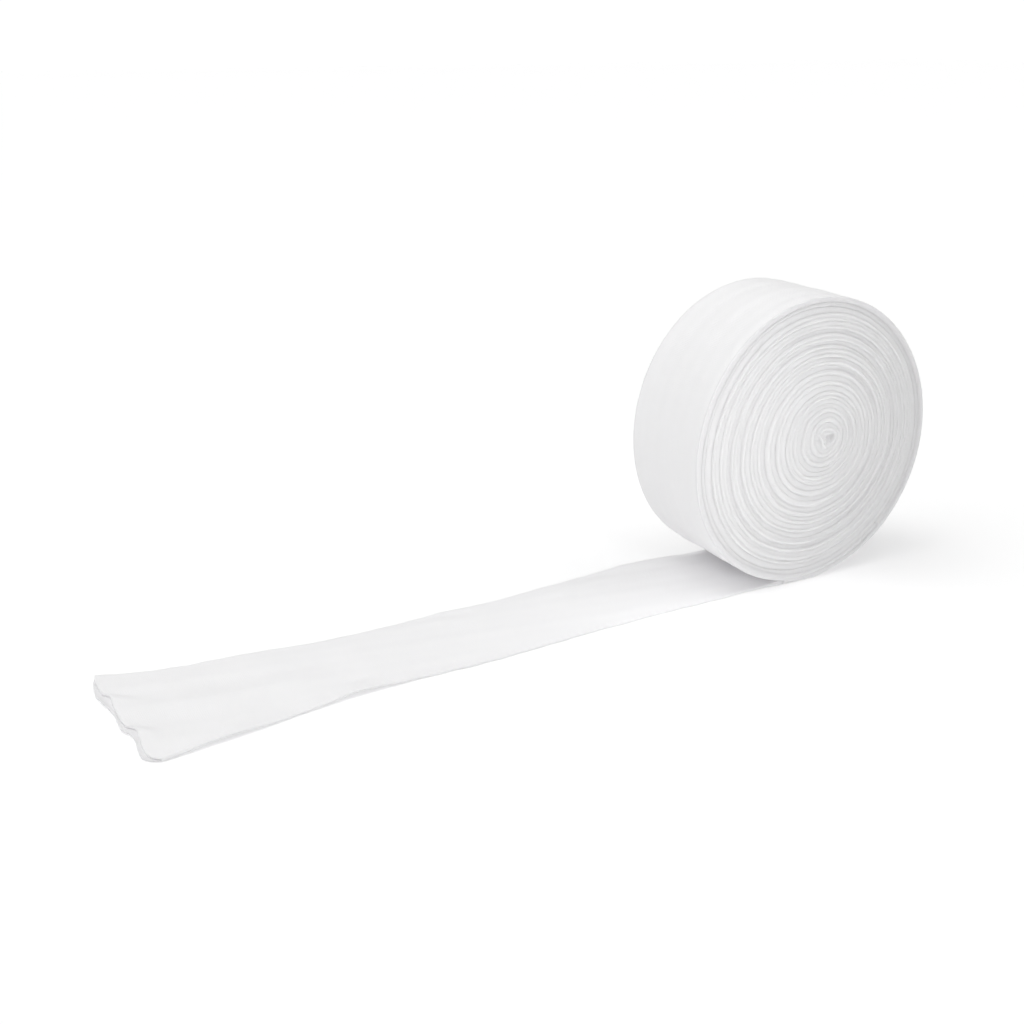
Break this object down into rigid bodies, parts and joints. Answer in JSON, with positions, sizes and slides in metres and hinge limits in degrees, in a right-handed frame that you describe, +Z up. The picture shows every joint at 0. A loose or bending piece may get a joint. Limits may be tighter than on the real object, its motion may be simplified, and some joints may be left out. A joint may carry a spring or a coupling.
{
  "type": "compression stockinette roll",
  "caption": "Seamless white knitted compression tube, laid flat and wound into a coreless roll that stands on its edge, its loose end run out flat and fanned at the cut.",
  "frame": {"origin": "on the surface, at the middle of the roll's foot, half way across its width", "axes": "+Z up, -X along the loose end away from the roll, Y across the roll's width, with the face that the winding is read from on -Y"},
  "size_m": [0.5597, 0.1075, 0.1996],
  "materials": {
    "stockinette": "matt white elastic knit"
  },
  "bodies": {
    "root": {"roll": "stockinette", "loose_end": "stockinette"}
  },
  "joints": []
}
